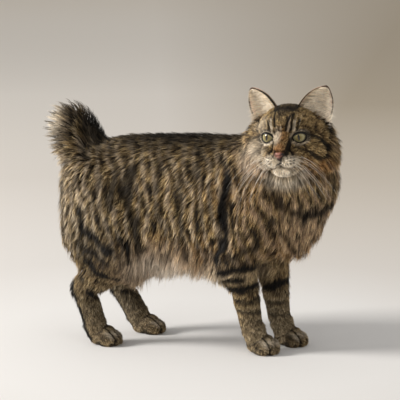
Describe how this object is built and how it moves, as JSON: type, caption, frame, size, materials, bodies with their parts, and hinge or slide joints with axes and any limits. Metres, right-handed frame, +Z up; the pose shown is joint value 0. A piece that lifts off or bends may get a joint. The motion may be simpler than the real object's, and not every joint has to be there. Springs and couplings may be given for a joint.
{
  "type": "american bobtail cat",
  "caption": "Life-size brown tabby bobtail cat with a shaggy coat, standing with its head turned to its right and its short tail up.",
  "frame": {"origin": "on the floor, below the middle of the cat's box", "axes": "+X forward along the back, +Y to the cat's left, +Z up"},
  "size_m": [0.4266, 0.1836, 0.3515],
  "materials": {
    "fur": "soft ticked fur",
    "ear_fur": "short soft fur",
    "eye": "wet gloss",
    "nose_leather": "damp matte"
  },
  "bodies": {
    "root": {"torso": "fur", "neck": "fur", "head": "fur", "tail": "fur", "upper_arm_right": "fur", "upper_arm_left": "fur", "forearm_right": "fur", "forearm_left": "fur", "forepaw_right": "fur", "forepaw_left": "fur", "thigh_right": "fur", "thigh_left": "fur", "shank_right": "fur", "shank_left": "fur", "hindfoot_right": "fur", "hindfoot_left": "fur", "ear_right": "ear_fur", "ear_left": "ear_fur", "eye_right": "eye", "eye_left": "eye", "nose": "nose_leather"}
  },
  "joints": []
}
